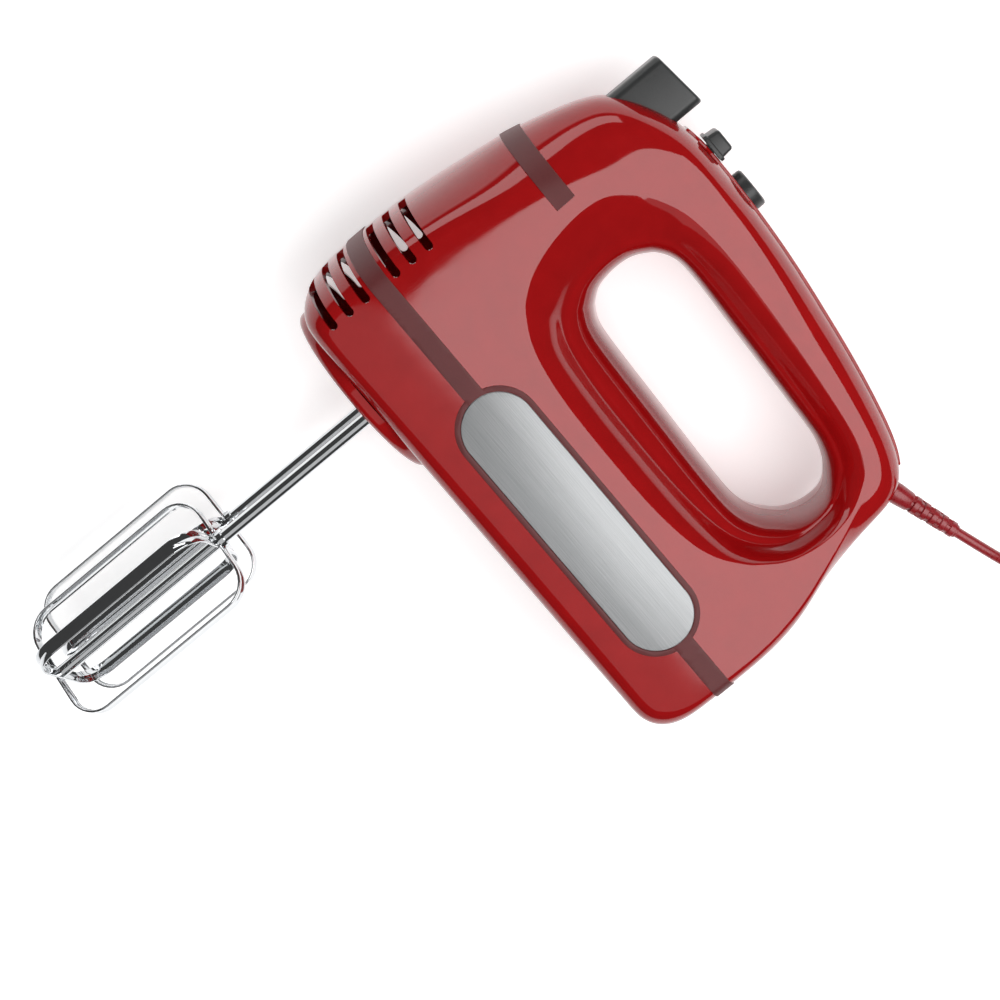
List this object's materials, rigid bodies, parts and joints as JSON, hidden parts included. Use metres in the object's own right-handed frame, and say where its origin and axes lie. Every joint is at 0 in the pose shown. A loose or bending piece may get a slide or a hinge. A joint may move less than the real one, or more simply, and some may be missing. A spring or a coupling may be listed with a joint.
{
  "type": "hand mixer",
  "caption": "Hand-held electric food mixer with a closed loop handle, a pair of geared wire-blade beaters, top controls and a supply cord.",
  "frame": {"origin": "centre of the base of the object's box as it lies on its right side, without its cord", "axes": "+X from the nose to the heel, +Y from the beaters to the handle, +Z from the mixer's right side, which it lies on, to its left side"},
  "size_m": [0.3321, 0.4154, 0.0852],
  "materials": {
    "red_abs": "polished moulded ABS",
    "burgundy_abs": "satin moulded ABS",
    "grey_abs": "fine matt moulded ABS",
    "brushed_plate": "brushed along its length",
    "chromed_steel": "bright chrome plate",
    "red_pvc": "soft PVC",
    "nickel_brass": "nickel plated",
    "natural_nylon": "moulded nylon",
    "copper_wire": "enamelled winding wire",
    "brass": "turned",
    "black_part": "moulded",
    "circuit_board": "solder resist",
    "bright_steel": "turned and stamped"
  },
  "bodies": {
    "housing": {"right_shell": "red_abs", "left_shell": "red_abs", "nose_plate": "red_abs", "handle_cover": "red_abs", "right_trim_plate": "brushed_plate", "left_trim_plate": "brushed_plate", "right_trim_border": "burgundy_abs", "left_trim_border": "burgundy_abs", "right_lower_band": "burgundy_abs", "left_lower_band": "burgundy_abs", "right_upper_band": "burgundy_abs", "left_upper_band": "burgundy_abs", "eject_spring": "bright_steel", "spring_seat": "natural_nylon", "speed_switch": "black_part", "turbo_spring": "bright_steel", "turbo_switch": "black_part", "speed_board": "circuit_board", "stator_core": "bright_steel", "field_coils": "copper_wire", "front_bearing": "bright_steel", "rear_bearing": "bright_steel", "rear_bracket": "natural_nylon", "brush_holders": "brass", "carbon_brushes": "black_part", "gearbox_frame": "natural_nylon", "housing_screws": "bright_steel", "strain_relief": "red_pvc", "cord_clamp": "natural_nylon", "power_cord": "red_pvc", "cord_coil": "red_pvc", "cord_tie": "natural_nylon", "plug_body": "red_pvc", "plug_pins": "nickel_brass"},
    "rotor": {"armature_core": "bright_steel", "armature_windings": "copper_wire", "commutator": "brass", "motor_shaft": "bright_steel", "drive_worm": "bright_steel", "cooling_fan": "natural_nylon"},
    "left_drive": {"left_gear": "natural_nylon"},
    "right_drive": {"right_gear": "natural_nylon"},
    "left_beater": {"left_beater_shaft": "chromed_steel", "left_wide_blade": "chromed_steel", "left_cross_blade": "chromed_steel", "left_beater_collar": "chromed_steel"},
    "right_beater": {"right_beater_shaft": "chromed_steel", "right_wide_blade": "chromed_steel", "right_cross_blade": "chromed_steel", "right_beater_collar": "chromed_steel"},
    "ejector": {"eject_button": "grey_abs", "ejector_frame": "natural_nylon"},
    "slider": {"speed_slider": "grey_abs"},
    "turbo": {"turbo_button": "grey_abs"}
  },
  "joints": [
    {"name": "motor_spin", "type": "hinge", "parent": "housing", "child": "rotor", "pos_m": [-0.01382, 0.03365, 0.0426], "axis": [1, 0, 0], "continuous": true},
    {"name": "left_drive_spin", "type": "hinge", "parent": "housing", "child": "left_drive", "pos_m": [-0.06182, 0.01965, 0.0596], "axis": [0, 1, 0], "continuous": true},
    {"name": "right_drive_spin", "type": "hinge", "parent": "housing", "child": "right_drive", "pos_m": [-0.06182, 0.01965, 0.0256], "axis": [0, 1, 0], "continuous": true},
    {"name": "left_beater_release", "type": "slide", "parent": "left_drive", "child": "left_beater", "axis": [0, -1, 0], "range_m": [0, 0.008]},
    {"name": "right_beater_release", "type": "slide", "parent": "right_drive", "child": "right_beater", "axis": [0, -1, 0], "range_m": [0, 0.008]},
    {"name": "eject_press", "type": "slide", "parent": "housing", "child": "ejector", "axis": [0, -1, 0], "range_m": [0, 0.008], "stiffness_N_per_m": 400, "springref_m": -0.004, "deforming": ["eject_spring"]},
    {"name": "speed_slide", "type": "slide", "parent": "housing", "child": "slider", "axis": [-1, 0, 0], "range_m": [0, 0.006]},
    {"name": "turbo_press", "type": "slide", "parent": "housing", "child": "turbo", "axis": [0, -1, 0], "range_m": [0, 0.003], "stiffness_N_per_m": 500, "springref_m": -0.002, "deforming": ["turbo_spring"]}
  ],
  "couplings": [
    {"joint": "left_drive_spin", "follows": "motor_spin", "ratio": 0.083333},
    {"joint": "right_drive_spin", "follows": "motor_spin", "ratio": -0.083333},
    {"joint": "left_beater_release", "follows": "eject_press", "ratio": 1},
    {"joint": "right_beater_release", "follows": "eject_press", "ratio": 1}
  ]
}
